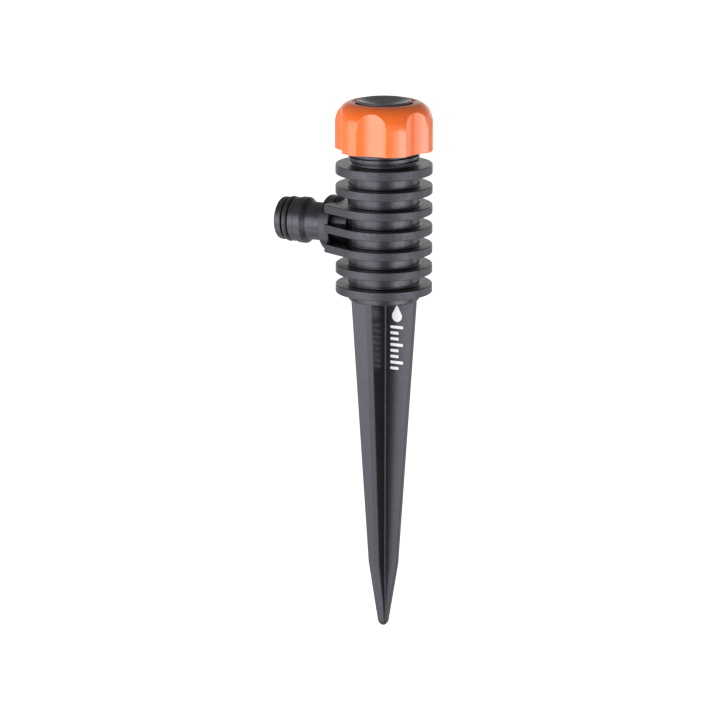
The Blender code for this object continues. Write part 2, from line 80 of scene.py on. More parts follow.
# Neck: a G 3/4 thread, and a smooth spigot above it
THREAD_PITCH = 1.814
THREAD_R = 13.2
THREAD_ROOT_R = 12.15
THREAD_W = (1.6, 1.2)  # width of the neck's ridge at its base and at its tip
THREAD_SIDES = 72  # steps in one turn
THREAD_ZERO_Z = 52.4  # height of the neck's ridge in the direction +X, or a whole number of turns from it
NECK_THREAD_Z = (51.6, 61.0)
NECK_THREAD_GROWTH = (1.2, 0.3)  # turns that the ridge's start and its end take to grow
SPIGOT_R = 11.7
SPIGOT_STEP_Z = (61.5, 61.9)  # where the neck steps in from the thread's root to the smooth spigot
NECK_TOP_Z = BODY_HIGH.z

# Bore of the body
CHAMBER_R = 11.0
CHAMBER_TOP_Z = 38.0
RISER_R = 8.8
GUIDE_SEAT_Z = 57.0
GUIDE_SEAT_R = 9.6
SNAP_GROOVE_R = 10.0
SNAP_GROOVE_Z = (61.5, 62.8)

# Inlet, along -X
INLET_Z = (NIPPLE_LOW.z + NIPPLE_HIGH.z) / 2
FLANGE_R = 10.5
FLANGE_X = (18.1, 22.4)  # distances from the body's axis
PIPE_R = 7.6
SOCKET_R = 6.1
SOCKET_END_X = 16.5
PORT_R = 4.0

# Nipple: radii, and distances from the body's axis
NIPPLE_SPIGOT_R = 5.9
SOCKET_SEAL_R = 5.0
SOCKET_SEAL_X = (17.9, 19.4)
NIPPLE_NECK_R = 7.15
NIPPLE_NECK_END_X = 29.5
LATCH_R = 8.67
LATCH_X = (31.2, 33.85)
LAND_R = 8.32
LAND_X = (34.05, 36.4)
NOSE_SEAL_R = 6.3
NOSE_SEAL_X = (36.4, 39.4)
NOSE_RING_R = (6.4, 8.5)  # inside and outside of the ring in the nose's groove
NOSE_R = 8.05
NIPPLE_END_X = -NIPPLE_LOW.x
TURNED_SIDES = 112  # sides of the nipple, its ring and the inlet's flange

# Ring nut
NUT_R = NUT_HIGH.x
NUT_Z = (NUT_LOW.z, NUT_HIGH.z)
NUT_SHOULDER = (6.2, 8.0)  # width and height of the rounded shoulder
NUT_CREST_R = NUT_R - NUT_SHOULDER[0]
NUT_LIP_R = 10.55
NUT_LIP_Z = (72.7, 73.6)
NUT_FUNNEL = (1.3, 0.5)  # how far out and how far up the mouth's soft step lies from the lip
NUT_BORE_R = 13.35
NUT_RIDGE_R = 12.6
NUT_RIDGE_W = (0.5, 0.22)  # base and tip of the ridge that runs in the neck's thread
NUT_RIDGE_GROWTH = (0.25, 0.25)
NUT_THREAD_Z = (57.6, 63.0)
SEAL_GROOVE_R = 13.0
SEAL_GROOVE_Z = (63.9, 66.2)
NUT_UPPER_BORE_R = 12.0
NUT_ROOF_Z = 71.3
FLUTE_COUNT = 6
FLUTE_CUTTER_R = 15.5
FLUTE_VALLEY_R = 16.2
FLUTE_ANGLE = radians(-80.4)  # direction of the first flute, from +X
FLUTE_STEPS = 20
CREST_STEPS = 10
NUT_WALL_ROWS = 9
NUT_DOME_ROWS = 14
NUT_CHAMFER = 0.4
NUT_EDGE_R = 0.3

# Deflector disc
DISC_R = DISC_HIGH.x
DISC_Z = DISC_HIGH.z
DISC_DISH = 2.3  # depth of the dished top
DISH_POWER = 1.3  # 1 would be a cone, and 2 a bowl
DISC_RIM_W = 0.95
DISC_RIM_R = 0.5
DISC_RIM_T = 1.5
FLARE_END_R = DISC_R - 1.0
FLARE_Z = (66.0, 72.9)
HUB_R = 3.2
HUB_Z = 64.0
SHAFT_HOLE_R = 1.55
SHAFT_HOLE_TOP_Z = 71.5

# Spike: height, length of a rib from the axis, and rib thickness
SPIKE_LEVELS = (
    (1.0, 13.15, 2.4),
    (0.0, 13.15, 2.4),
    (-102.5, 5.9, 2.0),
    (-117.0, 3.25, 2.6),
    (-124.6, 1.95, 2.4),
)
SPIKE_TIP_Z = SPIKE_LOW.z
LEVEL_STEP = 6.0  # about the height between two sections
NOSE_STEPS = 8
NOSE_TURN = radians(86)  # how much of a quarter circle the nose rounds off
RIB_FILLET = 0.45
RIB_EDGE_R = 0.28
COLLAR_R = 13.25
COLLAR_RIM_R = 12.2  # outside this the collar is satin
PLUG_R = 10.75
PLUG_TOP_Z = 13.0
BASE_SEAL_R = 9.2
BASE_SEAL_Z = (6.4, 8.8)
PEDESTAL_R = 4.3
PEDESTAL_TOP_Z = 17.0
PEDESTAL_HOLE_R = 2.7
PEDESTAL_HOLE_Z = 8.9

# Printed mark on the +X rib: x is the distance from the body's axis
DROP_PLACE = (6.0, -5.2)
DROP_SIZE = 6.0
BAR_COUNT = 8
BAR_X = 3.3
BAR_Z = -9.6
BAR_PITCH = 2.25
BAR_T = 1.1
BAR_LENGTHS = (5.2, 3.4, 3.4)  # repeated down the scale
BAR_CORNER_R = 0.35
PRINT_Y = (-0.05, 0.03)  # back and front of the print, outwards from the rib's face

FILLET_STEP = radians(22.5)  # greatest turn of one side of a fillet, where its sides aren't given


# ---------- mesh building ----------


def rounded(corners, closed=True, sides=None):
    """An outline from (x, y, fillet radius) corners. An open one keeps its two ends as they are.

    A fillet has the given number of sides, or else as many as its turn needs.
    """
    outline = []
    count = len(corners)
    for i, corner in enumerate(corners):
        x, y, radius = (*corner, 0)[:3]
        here = Vector((x, y))
        if radius == 0 or (not closed and i in (0, count - 1)):
            outline.append((x, y))
            continue
        back = Vector(corners[i - 1][:2]) - here
        ahead = Vector(corners[(i + 1) % count][:2]) - here
        turn = pi - back.angle(ahead)
        radius = min(radius, 0.45 * min(back.length, ahead.length) / tan(turn / 2))
        back.normalize()
        ahead.normalize()
        centre = here + (back + ahead).normalized() * radius / cos(turn / 2)
        start = here + back * radius * tan(turn / 2) - centre
        side = 1 if back.y * ahead.x - back.x * ahead.y > 0 else -1
        steps = sides or max(2, ceil(turn / FILLET_STEP - 1e-6))
        for k in range(steps + 1):
            spoke = start.copy()
            spoke.rotate(Matrix.Rotation(side * turn * k / steps, 2))
            outline.append(tuple(centre + spoke))
    return outline


def arc(centre, radii, start, end, count):
    """Points on an ellipse's arc from one angle to another, both ends included."""
    steps = [start + (end - start) * i / count for i in range(count + 1)]
    return [(centre[0] + radii[0] * cos(a), centre[1] + radii[1] * sin(a)) for a in steps]


def lofted(loops, closed=False):
    """Skins loops of equal length in order.

    A closed stack returns to its start, and an open one is capped.
    """
    made = bmesh.new()
    rows = [[made.verts.new(point) for point in loop] for loop in loops]
    pairs = list(zip(rows, rows[1:]))
    if closed:
        pairs.append((rows[-1], rows[0]))
    for lower, upper in pairs:
        for i in range(len(lower)):
            j = (i + 1) % len(lower)
            made.faces.new((lower[i], lower[j], upper[j], upper[i]))
    if not closed:
        made.faces.new(rows[0])
        made.faces.new(rows[-1])
    return made


def turned(outline, sides):
    """A piece turned about Z from (radius, height) points.

    A solid's outline starts and ends on the axis. A ring's outline closes on itself.
    """
    made = bmesh.new()
    corners = [made.verts.new((point[0], 0, point[1])) for point in outline]
    solid = outline[0][0] == 0 and outline[-1][0] == 0
    following = corners[1:] if solid else corners[1:] + corners[:1]
    edges = [made.edges.new(pair) for pair in zip(corners, following)]
    bmesh.ops.spin(
        made,
        geom=corners + edges,
        cent=(0, 0, 0),
        axis=(0, 0, 1),
        angle=2 * pi,
        steps=sides,
        use_merge=True,
    )
    bmesh.ops.remove_doubles(made, verts=made.verts, dist=1e-4)
    return made


def outward(made):
    """Lays a piece turned about Z along the inlet: its heights become distances towards -X."""
    bmesh.ops.rotate(made, verts=made.verts, cent=(0, 0, 0), matrix=Matrix.Rotation(-pi / 2, 3, "Y"))
    bmesh.ops.translate(made, verts=made.verts, vec=(0, 0, INLET_Z))
    return made


def to_object(name, made):
    """Turns a bmesh in millimetres into a linked object in metres."""
    bmesh.ops.recalc_face_normals(made, faces=made.faces)
    bmesh.ops.scale(made, verts=made.verts, vec=(MM, MM, MM))
    mesh = bpy.data.meshes.new(name)
    made.to_mesh(mesh)
    made.free()
    piece = bpy.data.objects.new(name, mesh)
    bpy.context.scene.collection.objects.link(piece)
    return piece


def settle(piece):
    """Applies every modifier."""
    graph = bpy.context.evaluated_depsgraph_get()
    final = bpy.data.meshes.new_from_object(piece.evaluated_get(graph))
    piece.modifiers.clear()
    piece.data = final


def combine(piece, other, operation="UNION"):
    """Joins the other shape on, or cuts it off, and removes it."""
    step = piece.modifiers.new("step", "BOOLEAN")
    step.operation = operation
    step.object = other
    settle(piece)
    bpy.data.objects.remove(other)


def finish_mesh(piece, sharp=radians(32)):
    """Shades round faces smooth, keeps corners crisp and flats flat."""
    piece.data.shade_smooth()
    piece.data.set_sharp_from_angle(angle=sharp)
    step = piece.modifiers.new("flat_faces", "WEIGHTED_NORMAL")
    step.keep_sharp = True
    step.weight = 60


def thread_ridge(radii, widths, heights, zero_z, growth):
    """A helical ridge of rounded trapezium section, on the thread's pitch.

    radii and widths are those of its root and its tip. growth is how many turns its start and its end
    take to grow. While it grows, its upper flank keeps its place and its lower flank moves down from it.
    """
    root_r, tip_r = radii
    base_w, tip_w = widths
    least = 0.12  # share of the full section at either end
    sunk = root_r - (tip_r - root_r) * 0.3
    count = round((heights[1] - heights[0]) / THREAD_PITCH * THREAD_SIDES)
    loops = []
    for i in range(count + 1):
        z = heights[0] + i * THREAD_PITCH / THREAD_SIDES
        angle = 2 * pi * (z - zero_z) / THREAD_PITCH
        from_start = i / THREAD_SIDES / growth[0]
        from_end = (count - i) / THREAD_SIDES / growth[1]
        grown = min(1.0, least + from_start, least + from_end)
        tip = root_r + (tip_r - root_r) * min(1.0, 2 * grown)
        soft = min(0.14, tip_w / 3) * grown
        below = grown - 0.5
        section = [
            (sunk, z - base_w * below),
            (tip, z - tip_w * below, soft),
            (tip, z + tip_w / 2, soft),
            (sunk, z + base_w / 2),
        ]
        outline = rounded(section, closed=False, sides=3)
        loops.append([(r * cos(angle), r * sin(angle), height) for r, height in outline])
    return lofted(loops)


# ---------- body housing ----------


def wide_fin_edge(angle, inset):
    """Distance from the axis to a wide fin's edge, moved inwards by inset.

    The outline is a disc joined by tangents to a straight end towards -X, with small round corners.
    """
    end_x, half_w = WIDE_FIN_END
    tilt = atan2(half_w, end_x) + acos(FIN_R / hypot(end_x, half_w))
    from_end = abs(atan2(sin(angle), -cos(angle)))
    corner_x = end_x - WIDE_FIN_CORNER_R
    corner_y = (FIN_R - WIDE_FIN_CORNER_R - corner_x * cos(tilt)) / sin(tilt)
    if from_end <= atan2(corner_y, end_x - inset):
        return (end_x - inset) / cos(from_end)
    radius = WIDE_FIN_CORNER_R - inset
    end_of_corner = atan2(corner_y + radius * sin(tilt), corner_x + radius * cos(tilt))
    if from_end <= end_of_corner:
        along = corner_x * cos(from_end) + corner_y * sin(from_end)
        return along + sqrt(max(0.0, along**2 - corner_x**2 - corner_y**2 + radius**2))
    if from_end <= tilt:
        return (FIN_R - inset) / cos(tilt - from_end)
    return FIN_R - inset


def body_angles():
    """Even directions, with finer ones at the wide fins' corners."""
    corner = atan2(WIDE_FIN_END[1], WIDE_FIN_END[0])
    even = [2 * pi * i / COLUMNS for i in range(COLUMNS)]
    fine = [pi + side * (corner + radians(0.35) * k) for side in (-1, 1) for k in range(-6, 7)]
    clear = [a for a in even if all(abs(a - b) > radians(0.6) for b in fine)]
    return sorted(clear + fine)


def finned_profile():
    """(radius, height, fillet) corners up the outside of the body and down its bore."""
    corners = []
    for i in range(FIN_COUNT):
        low = BODY_Z + i * FIN_PITCH
        high = low + (TOP_FIN_T if i == FIN_COUNT - 1 else FIN_T)
        if i > 0:
            corners.append((TUBE_R, low, FIN_ROOT_R))
        corners += [(FIN_R, low, FIN_EDGE_R), (FIN_R, high, FIN_EDGE_R)]
        if i < FIN_COUNT - 1:
            corners.append((TUBE_R, high, FIN_ROOT_R))
    return corners + [
        (THREAD_ROOT_R, high, 0.25),
        (THREAD_ROOT_R, SPIGOT_STEP_Z[0], 0.15),
        (SPIGOT_R, SPIGOT_STEP_Z[1], 0.15),
        (SPIGOT_R, NECK_TOP_Z, 0.4),
        (GUIDE_SEAT_R, NECK_TOP_Z, 0.3),
        (GUIDE_SEAT_R, SNAP_GROOVE_Z[1]),
        (SNAP_GROOVE_R, SNAP_GROOVE_Z[1]),
        (SNAP_GROOVE_R, SNAP_GROOVE_Z[0]),
        (GUIDE_SEAT_R, SNAP_GROOVE_Z[0]),
        (GUIDE_SEAT_R, GUIDE_SEAT_Z),
        (RISER_R, GUIDE_SEAT_Z),
        (RISER_R, CHAMBER_TOP_Z, 0.3),
        (CHAMBER_R, CHAMBER_TOP_Z),
        (CHAMBER_R, BODY_Z, 0.3),
    ]


def finned_tube():
    """Tube, fins, neck and bore as one closed stack of loops. A wide fin's edge has its own outline."""
    angles = body_angles()
    wide = [BODY_Z + i * FIN_PITCH for i in WIDE_FINS]
    loops = []
    for radius, z in rounded(finned_profile()):
        on_wide_fin = any(low <= z <= low + FIN_T + 0.01 for low in wide)
        reaches_out = on_wide_fin and radius > FIN_R - 2 * FIN_EDGE_R
        loop = []
        for a in angles:
            r = wide_fin_edge(a, FIN_R - radius) if reaches_out else radius
            loop.append((r * cos(a), r * sin(a), z))
        loops.append(loop)
    return lofted(loops, closed=True)


def inlet_boss():
    """The pipe from the tube and the round flange that the wide fins run into, with a pilot hole."""
    pilot_r = PORT_R - 1
    root_x = TUBE_R - 1.2
    corners = [
        (pilot_r, root_x),
        (PIPE_R, root_x),
        (PIPE_R, FLANGE_X[0], 0.5),
        (FLANGE_R, FLANGE_X[0], 0.4),
        (FLANGE_R, FLANGE_X[1], 0.5),
        (pilot_r, FLANGE_X[1]),
    ]
    return to_object("boss", outward(turned(rounded(corners), TURNED_SIDES)))


def inlet_port():
    """The socket for the nipple's spigot, and the port from there into the chamber."""
    inside_x, outside_x = CHAMBER_R - 3, FLANGE_X[1] + 1
    outline = [
        (0, inside_x),
        (PORT_R, inside_x),
        (PORT_R, SOCKET_END_X),
        (SOCKET_R, SOCKET_END_X),
        (SOCKET_R, outside_x),
        (0, outside_x),
    ]
    return to_object("port", outward(turned(outline, 64)))


def make_body(finishes):
    """The housing. Its rims and the inlet are grained, and its tube and its level faces are satin, in a
    darker black that is painted shade.
    """
    body = to_object("body_visual", finned_tube())
    radii = (THREAD_ROOT_R, THREAD_R)
    ridge = thread_ridge(radii, THREAD_W, NECK_THREAD_Z, THREAD_ZERO_Z, NECK_THREAD_GROWTH)
    combine(body, inlet_boss())
    combine(body, inlet_port(), operation="DIFFERENCE")
    combine(body, to_object("ridge", ridge))
    body.data.materials.clear()
    body.data.materials.append(finishes["grained_black"])
    body.data.materials.append(finishes["satin_black_painted_shade"])
    # The tube and the level faces take the satin black. It is glossier, and its darker colour is painted
    # shade.
    for face in body.data.polygons:
        centre = face.center / MM
        on_tube = hypot(centre.x, centre.y) < TUBE_R + 0.2
        face.material_index = 1 if on_tube or abs(face.normal.z) > 0.5 else 0
    finish_mesh(body)
    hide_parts("body_housing")
    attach(body, "root")


# ---------- spike ----------


def spike_levels():
    """(height, rib length, half thickness) down the spike, closer together where its nose rounds off."""
    levels = []
    for (high, length, thick), (low, end_length, end_thick) in zip(SPIKE_LEVELS, SPIKE_LEVELS[1:]):
        steps = max(1, round((high - low) / LEVEL_STEP))
        for k in range(steps):
            t = k / steps
            half = (thick + (end_thick - thick) * t) / 2
            levels.append((high + (low - high) * t, length + (end_length - length) * t, half))
    nose_z, nose_length, nose_thick = SPIKE_LEVELS[-1]
    for k in range(NOSE_STEPS + 1):
        t = sin(k / NOSE_STEPS * NOSE_TURN)
        left = sqrt(1 - t**2)
        levels.append((nose_z + (SPIKE_TIP_Z - nose_z) * t, nose_length * left, nose_thick / 2 * left))
    return levels


def cross_section(z, length, half):
    """A four-ribbed cross with rounded rib ends and filleted inner corners."""
    edge = min(RIB_EDGE_R, half * 0.6)
    ease = min(RIB_FILLET, (length - half) * 0.9)
    corners = []
    for turn in range(4):
        c, s = round(cos(turn * pi / 2)), round(sin(turn * pi / 2))
        for x, y, radius in ((length, -half, edge), (length, half, edge), (half, half, ease)):
            corners.append((x * c - y * s, x * s + y * c, radius))
    return [(x, y, z) for x, y in rounded(corners, sides=5)]


def collar_and_plug():
    """The collar under the body, and the plug that closes the body's bore and holds the lower bush."""
    collar_top_z = BODY_Z - GAP
    corners = [
        (0, 0),
        (COLLAR_R, 0, 0.55),
        (COLLAR_R, collar_top_z, 0.1),
        (PLUG_R, collar_top_z),
        (PLUG_R, BASE_SEAL_Z[0]),
        (BASE_SEAL_R, BASE_SEAL_Z[0]),
        (BASE_SEAL_R, BASE_SEAL_Z[1]),
        (PLUG_R, BASE_SEAL_Z[1]),
        (PLUG_R, PLUG_TOP_Z, 0.5),
        (PEDESTAL_R, PLUG_TOP_Z, 0.3),
        (PEDESTAL_R, PEDESTAL_TOP_Z, 0.2),
        (PEDESTAL_HOLE_R, PEDESTAL_TOP_Z),
        (PEDESTAL_HOLE_R, PEDESTAL_HOLE_Z),
        (0, PEDESTAL_HOLE_Z),
    ]
    return to_object("plug", turned(rounded(corners, closed=False), 128))


def make_spike(finishes):
    """The spike. The collar's rim takes the satin black, whose darker colour is painted shade, to match
    the body above it.
    """
    spike = to_object("spike_visual", lofted([cross_section(*level) for level in spike_levels()]))
    combine(spike, collar_and_plug())
    spike.data.materials.clear()
    spike.data.materials.append(finishes["ribbed_black"])
    spike.data.materials.append(finishes["satin_black_painted_shade"])
    for face in spike.data.polygons:
        centre = face.center / MM
        on_rim = centre.z > -0.1 and hypot(centre.x, centre.y) > COLLAR_RIM_R
        face.material_index = 1 if on_rim and face.normal.z > -0.98 else 0
    finish_mesh(spike)
    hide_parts("spike")
    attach(spike, "root")


# ---------- printed mark ----------


def rib_half(z):
    """Half a rib's thickness at height z on its long straight stretch."""
    (_, _, top), (low_z, _, low) = SPIKE_LEVELS[1:3]
    return (top + (low - top) * z / low_z) / 2


def add_plate(made, outline):
    """Adds a thin closed plate on the +X rib's -Y face, from (x, z) points in order."""
    rings = [[made.verts.new((x, -rib_half(z) - proud, z)) for x, z in outline] for proud in PRINT_Y]
    for ring in rings:
        made.faces.new(ring)
    for i in range(len(outline)):
        j = (i + 1) % len(outline)
        made.faces.new((rings[0][i], rings[0][j], rings[1][j], rings[1][i]))


def drop_outline(x, z, size):
    """A water drop, point up: an oval below, drawn out to its point."""
    oval = arc((x, z - size * 0.12), (size * 0.34, size * 0.36), radians(20), radians(-200), 22)
    return [(x, z + size * 0.62), *oval]


def bar_outline(i):
    """Bar i of the depth scale, from the top."""
    high = BAR_Z - BAR_PITCH * i
    low = high - BAR_T
    right = BAR_X + BAR_LENGTHS[i % len(BAR_LENGTHS)]
    corners = [(BAR_X, high), (right, high), (right, low), (BAR_X, low)]
    return rounded([(x, z, BAR_CORNER_R) for x, z in corners])


def make_mark(finishes):
    """A printed drop over a depth scale of plain bars."""
    made = bmesh.new()
    add_plate(made, drop_outline(*DROP_PLACE, DROP_SIZE))
    for i in range(BAR_COUNT):
        add_plate(made, bar_outline(i))
    mark = to_object("depth_print", made)
    mark.data.materials.append(finishes["white_print"])
    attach(mark, "root")


# ---------- inlet nipple ----------


def make_nipple(finishes):
    """The male half of a click coupling: nose, seal groove, latch collar and neck, on a spigot."""
    shoulder_x = FLANGE_X[1] + GAP
    corners = [
        (PORT_R, NIPPLE_END_X, 0.4),
        (PORT_R, SOCKET_END_X + GAP, 0.2),
        (NIPPLE_SPIGOT_R, SOCKET_END_X + GAP, 0.2),
        (NIPPLE_SPIGOT_R, SOCKET_SEAL_X[0]),
        (SOCKET_SEAL_R, SOCKET_SEAL_X[0]),
        (SOCKET_SEAL_R, SOCKET_SEAL_X[1]),
        (NIPPLE_SPIGOT_R, SOCKET_SEAL_X[1]),
        (NIPPLE_SPIGOT_R, shoulder_x),
        (NIPPLE_NECK_R, shoulder_x),
        (NIPPLE_NECK_R, NIPPLE_NECK_END_X, 0.6),
        (LATCH_R, LATCH_X[0], 0.35),
        (LATCH_R, LATCH_X[1], 0.25),
        (LAND_R - 0.07, LAND_X[0] - 0.1, 0.05),
        (LAND_R, LAND_X[0], 0.05),
        (LAND_R, LAND_X[1], 0.3),
        (NOSE_SEAL_R, NOSE_SEAL_X[0], 0.2),
        (NOSE_SEAL_R, NOSE_SEAL_X[1], 0.2),
        (NOSE_R, NOSE_SEAL_X[1], 0.25),
        (NOSE_R, NIPPLE_END_X, 0.9),
    ]
    nipple = to_object("nipple_visual", outward(turned(rounded(corners), TURNED_SIDES)))
    nipple.data.materials.append(finishes["nipple_black"])
    finish_mesh(nipple)
    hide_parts("inlet_nipple")
    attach(nipple, "root")


def make_nose_ring(finishes):
    """The O-ring in the nipple's nose."""
    inner_r, outer_r = NOSE_RING_R
    section_r = (outer_r - inner_r) / 2
    centre = ((inner_r + outer_r) / 2, sum(NOSE_SEAL_X) / 2)
    section = arc(centre, (section_r, section_r), 0, 2 * pi * 23 / 24, 23)
    ring = to_object("nipple_seal_visual", outward(turned(section, TURNED_SIDES)))
    ring.data.materials.append(finishes["seal_rubber"])
    finish_mesh(ring)
    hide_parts("nipple_o_ring")
    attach(ring, "root")


# ---------- ring nut ----------


def nut_columns():
    """(direction, wall's radius, is a flute's edge, is in a flute) for each column of the nut's wall."""
    away = FLUTE_VALLEY_R + FLUTE_CUTTER_R
    half = acos((NUT_R**2 + away**2 - FLUTE_CUTTER_R**2) / (2 * NUT_R * away))
    pitch = 2 * pi / FLUTE_COUNT
    columns = []
    for flute in range(FLUTE_COUNT):
        centre = FLUTE_ANGLE + flute * pitch
        for k in range(FLUTE_STEPS + 1):
            a = -half + 2 * half * k / FLUTE_STEPS
            wall = away * cos(a) - sqrt(FLUTE_CUTTER_R**2 - (away * sin(a)) ** 2)
            columns.append((centre + a, min(wall, NUT_R), k in (0, FLUTE_STEPS), True))
        for k in range(1, CREST_STEPS):
            a = half + (pitch - 2 * half) * k / CREST_STEPS
            columns.append((centre + a, NUT_R, False, False))
    return columns


def nut_outside(wall):
    """(radius, height) points up one column's outside: its wall, then the dome above it, to the crest."""
    wide, tall = NUT_SHOULDER
    dome_z = NUT_Z[1] - tall
    first = acos(max(-1.0, min(1.0, (wall - NUT_CREST_R) / wide)))
    top = dome_z + tall * sin(first)
    up = [(wall, NUT_Z[0] + (top - NUT_Z[0]) * k / NUT_WALL_ROWS) for k in range(NUT_WALL_ROWS)]
    return up + arc((NUT_CREST_R, dome_z), (wide, tall), first, pi / 2, NUT_DOME_ROWS)


def nut_inside():
    """(radius, height) points from the crest into the mouth and down the bore, all round the same."""
    corners = [
        (NUT_CREST_R, NUT_Z[1]),
        (NUT_LIP_R + NUT_FUNNEL[0], NUT_LIP_Z[1] + NUT_FUNNEL[1], 0.8),
        (NUT_LIP_R, NUT_LIP_Z[1], 0.25),
        (NUT_LIP_R, NUT_LIP_Z[0], 0.2),
        (NUT_UPPER_BORE_R, NUT_ROOF_Z, 0.3),
        (NUT_UPPER_BORE_R, SEAL_GROOVE_Z[1], 0.1),
        (SEAL_GROOVE_R, SEAL_GROOVE_Z[1], 0.1),
        (SEAL_GROOVE_R, SEAL_GROOVE_Z[0], 0.1),
        (NUT_BORE_R, SEAL_GROOVE_Z[0] - NUT_CHAMFER, 0.1),
        (NUT_BORE_R, NUT_Z[0] + NUT_CHAMFER, 0.1),
        (NUT_BORE_R + NUT_CHAMFER, NUT_Z[0]),
    ]
    return rounded(corners, closed=False)[1:]


def fluted_shell():
    """The nut as one closed stack of loops, and the columns that they are made of."""
    columns = nut_columns()
    outsides = [nut_outside(column[1]) for column in columns]
    loops = []
    for row in range(NUT_WALL_ROWS + NUT_DOME_ROWS + 1):
        points = [(outside[row], column[0]) for outside, column in zip(outsides, columns)]
        loops.append([(r * cos(a), r * sin(a), z) for (r, z), a in points])
    loops += [[(r * cos(a), r * sin(a), z) for a, *_ in columns] for r, z in nut_inside()]
    return lofted(loops, closed=True), columns


def weigh_edges(made, columns):
    """Marks the flutes' sides and arches and the bottom rim for the bevel that softens them."""
    made.verts.ensure_lookup_table()
    weights = made.edges.layers.float.new("bevel_weight_edge")
    across = len(columns)
    creased = {(NUT_WALL_ROWS, c) for c in range(across) if columns[c][3]}
    creased |= {(0, c) for c in range(across)}
    for edge in made.edges:
        a, b = (divmod(v.index, across) for v in edge.verts)
        on_arch_or_rim = a[0] == b[0] and a in creased and b in creased
        on_flute_edge = a[1] == b[1] and columns[a[1]][2] and max(a[0], b[0]) <= NUT_WALL_ROWS
        if on_arch_or_rim or on_flute_edge:
            edge[weights] = 1.0


def make_nut(finishes):
    """A domed nut with six flutes. Inside are its thread, the seal's groove and a smooth upper bore."""
    made, columns = fluted_shell()
    weigh_edges(made, columns)
    nut = to_object("nut_visual", made)
    step = nut.modifiers.new("soft_edges", "BEVEL")
    step.limit_method = "WEIGHT"
    step.width = NUT_EDGE_R * MM
    step.segments = 3
    settle(nut)
    zero_z = THREAD_ZERO_Z + THREAD_PITCH / 2
    ridge = thread_ridge((NUT_BORE_R, NUT_RIDGE_R), NUT_RIDGE_W, NUT_THREAD_Z, zero_z, NUT_RIDGE_GROWTH)
    combine(nut, to_object("ridge", ridge))
    nut.data.materials.clear()
    nut.data.materials.append(finishes["orange"])
    finish_mesh(nut, sharp=radians(35))
    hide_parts("ring_nut")
    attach(nut, "nut")


# ---------- deflector disc ----------


def make_disc(finishes):
    """The dished disc in the nut's mouth, on a flared cone and hub."""
    dish_r, flare_w, flare_h = DISC_R - DISC_RIM_W, FLARE_END_R - HUB_R, FLARE_Z[1] - FLARE_Z[0]
    dish_at = [i / 14 for i in range(14)]
    flare_at = [i / 16 for i in range(17)]
    dish = [(dish_r * t, DISC_Z - DISC_DISH * (1 - t**DISH_POWER)) for t in dish_at]
    flare = [(HUB_R + flare_w * t**2, FLARE_Z[0] + flare_h * sqrt(t)) for t in flare_at]
    rim_centre = (DISC_R - DISC_RIM_R, DISC_Z - DISC_RIM_R)
    outline = [
        (0, SHAFT_HOLE_TOP_Z),
        (SHAFT_HOLE_R, SHAFT_HOLE_TOP_Z),
        (SHAFT_HOLE_R, HUB_Z),
        (HUB_R, HUB_Z),
        *flare,
        (DISC_R - 0.2, DISC_Z - DISC_RIM_T - 0.25),
        (DISC_R, DISC_Z - DISC_RIM_T),
        *arc(rim_centre, (DISC_RIM_R, DISC_RIM_R), 0, radians(110), 7),
        *reversed(dish),
    ]
    disc = to_object("disc_visual", turned(outline, 128))
    disc.data.materials.append(finishes["disc_black"])
    finish_mesh(disc)
    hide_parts("deflector_disc")
    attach(disc, "rotor")


# ---------- materials ----------


def map_range(tree, value, source, target):
    """Value turned from the range source into the range target, whose first end may be a socket."""
    made = tree.nodes.new("ShaderNodeMapRange")
    made.inputs["From Min"].default_value, made.inputs["From Max"].default_value = source
    low, high = target
    made.inputs["To Max"].default_value = high
    if isinstance(low, float):
        made.inputs["To Min"].default_value = low
    else:
        tree.links.new(low, made.inputs["To Min"])
    tree.links.new(value, made.inputs["Value"])
    return made.outputs["Result"]


class Finish:
    """A Principled material under construction. Its sizes are metres in the piece's own coordinates."""

    USUAL = (0.3, 0.7)  # the range that noise mostly keeps to

    def __init__(self, name, roughness, **constants):
        self.material = bpy.data.materials.new(name)
        self.material.use_nodes = True
        self.tree = self.material.node_tree
        self.shader = self.tree.nodes["Principled BSDF"]
        self.shader.inputs["Roughness"].default_value = roughness
        for socket, value in constants.items():
            self.shader.inputs[socket.replace("_", " ")].default_value = value
        self.place = self.tree.nodes.new("ShaderNodeTexCoord").outputs["Object"]
        self.normal = None

    def noise(self, size, detail, stretch=(1, 1, 1)):
        """Noise about size metres across, drawn out along an axis by stretch."""
        place = self.place
        if stretch != (1, 1, 1):
            mapping = self.tree.nodes.new("ShaderNodeMapping")
            mapping.inputs["Scale"].default_value = [1 / s for s in stretch]
            self.tree.links.new(place, mapping.inputs["Vector"])
            place = mapping.outputs["Vector"]
        made = self.tree.nodes.new("ShaderNodeTexNoise")
        made.inputs["Scale"].default_value = 1 / size
        made.inputs["Detail"].default_value = detail
        self.tree.links.new(place, made.inputs["Vector"])
        return made.outputs["Fac"]

    def ramp(self, value, low, high):
        """Noise turned into a colour between low and high."""
        made = self.tree.nodes.new("ShaderNodeValToRGB")
        first, last = made.color_ramp.elements
        first.position, last.position = self.USUAL
        first.color, last.color = (*low, 1), (*high, 1)
        self.tree.links.new(value, made.inputs["Fac"])
        return made.outputs["Color"]

    def spread(self, value, low, high):
        """Noise turned into a number from low to high."""
        return map_range(self.tree, value, self.USUAL, (low, high))

    def relief(self, value, depth):
        """Adds a bump depth metres deep to what is there."""
        made = self.tree.nodes.new("ShaderNodeBump")
        made.inputs["Strength"].default_value = 1.0
        made.inputs["Distance"].default_value = depth
        self.tree.links.new(value, made.inputs["Height"])
        if self.normal:
            self.tree.links.new(self.normal, made.inputs["Normal"])
        self.normal = made.outputs["Normal"]
        self.tree.links.new(self.normal, self.shader.inputs["Normal"])

    def colour(self, output):
        """Drives the base colour."""
        self.tree.links.new(output, self.shader.inputs["Base Color"])

    def roughness(self, output):
        """Drives the roughness."""
        self.tree.links.new(output, self.shader.inputs["Roughness"])


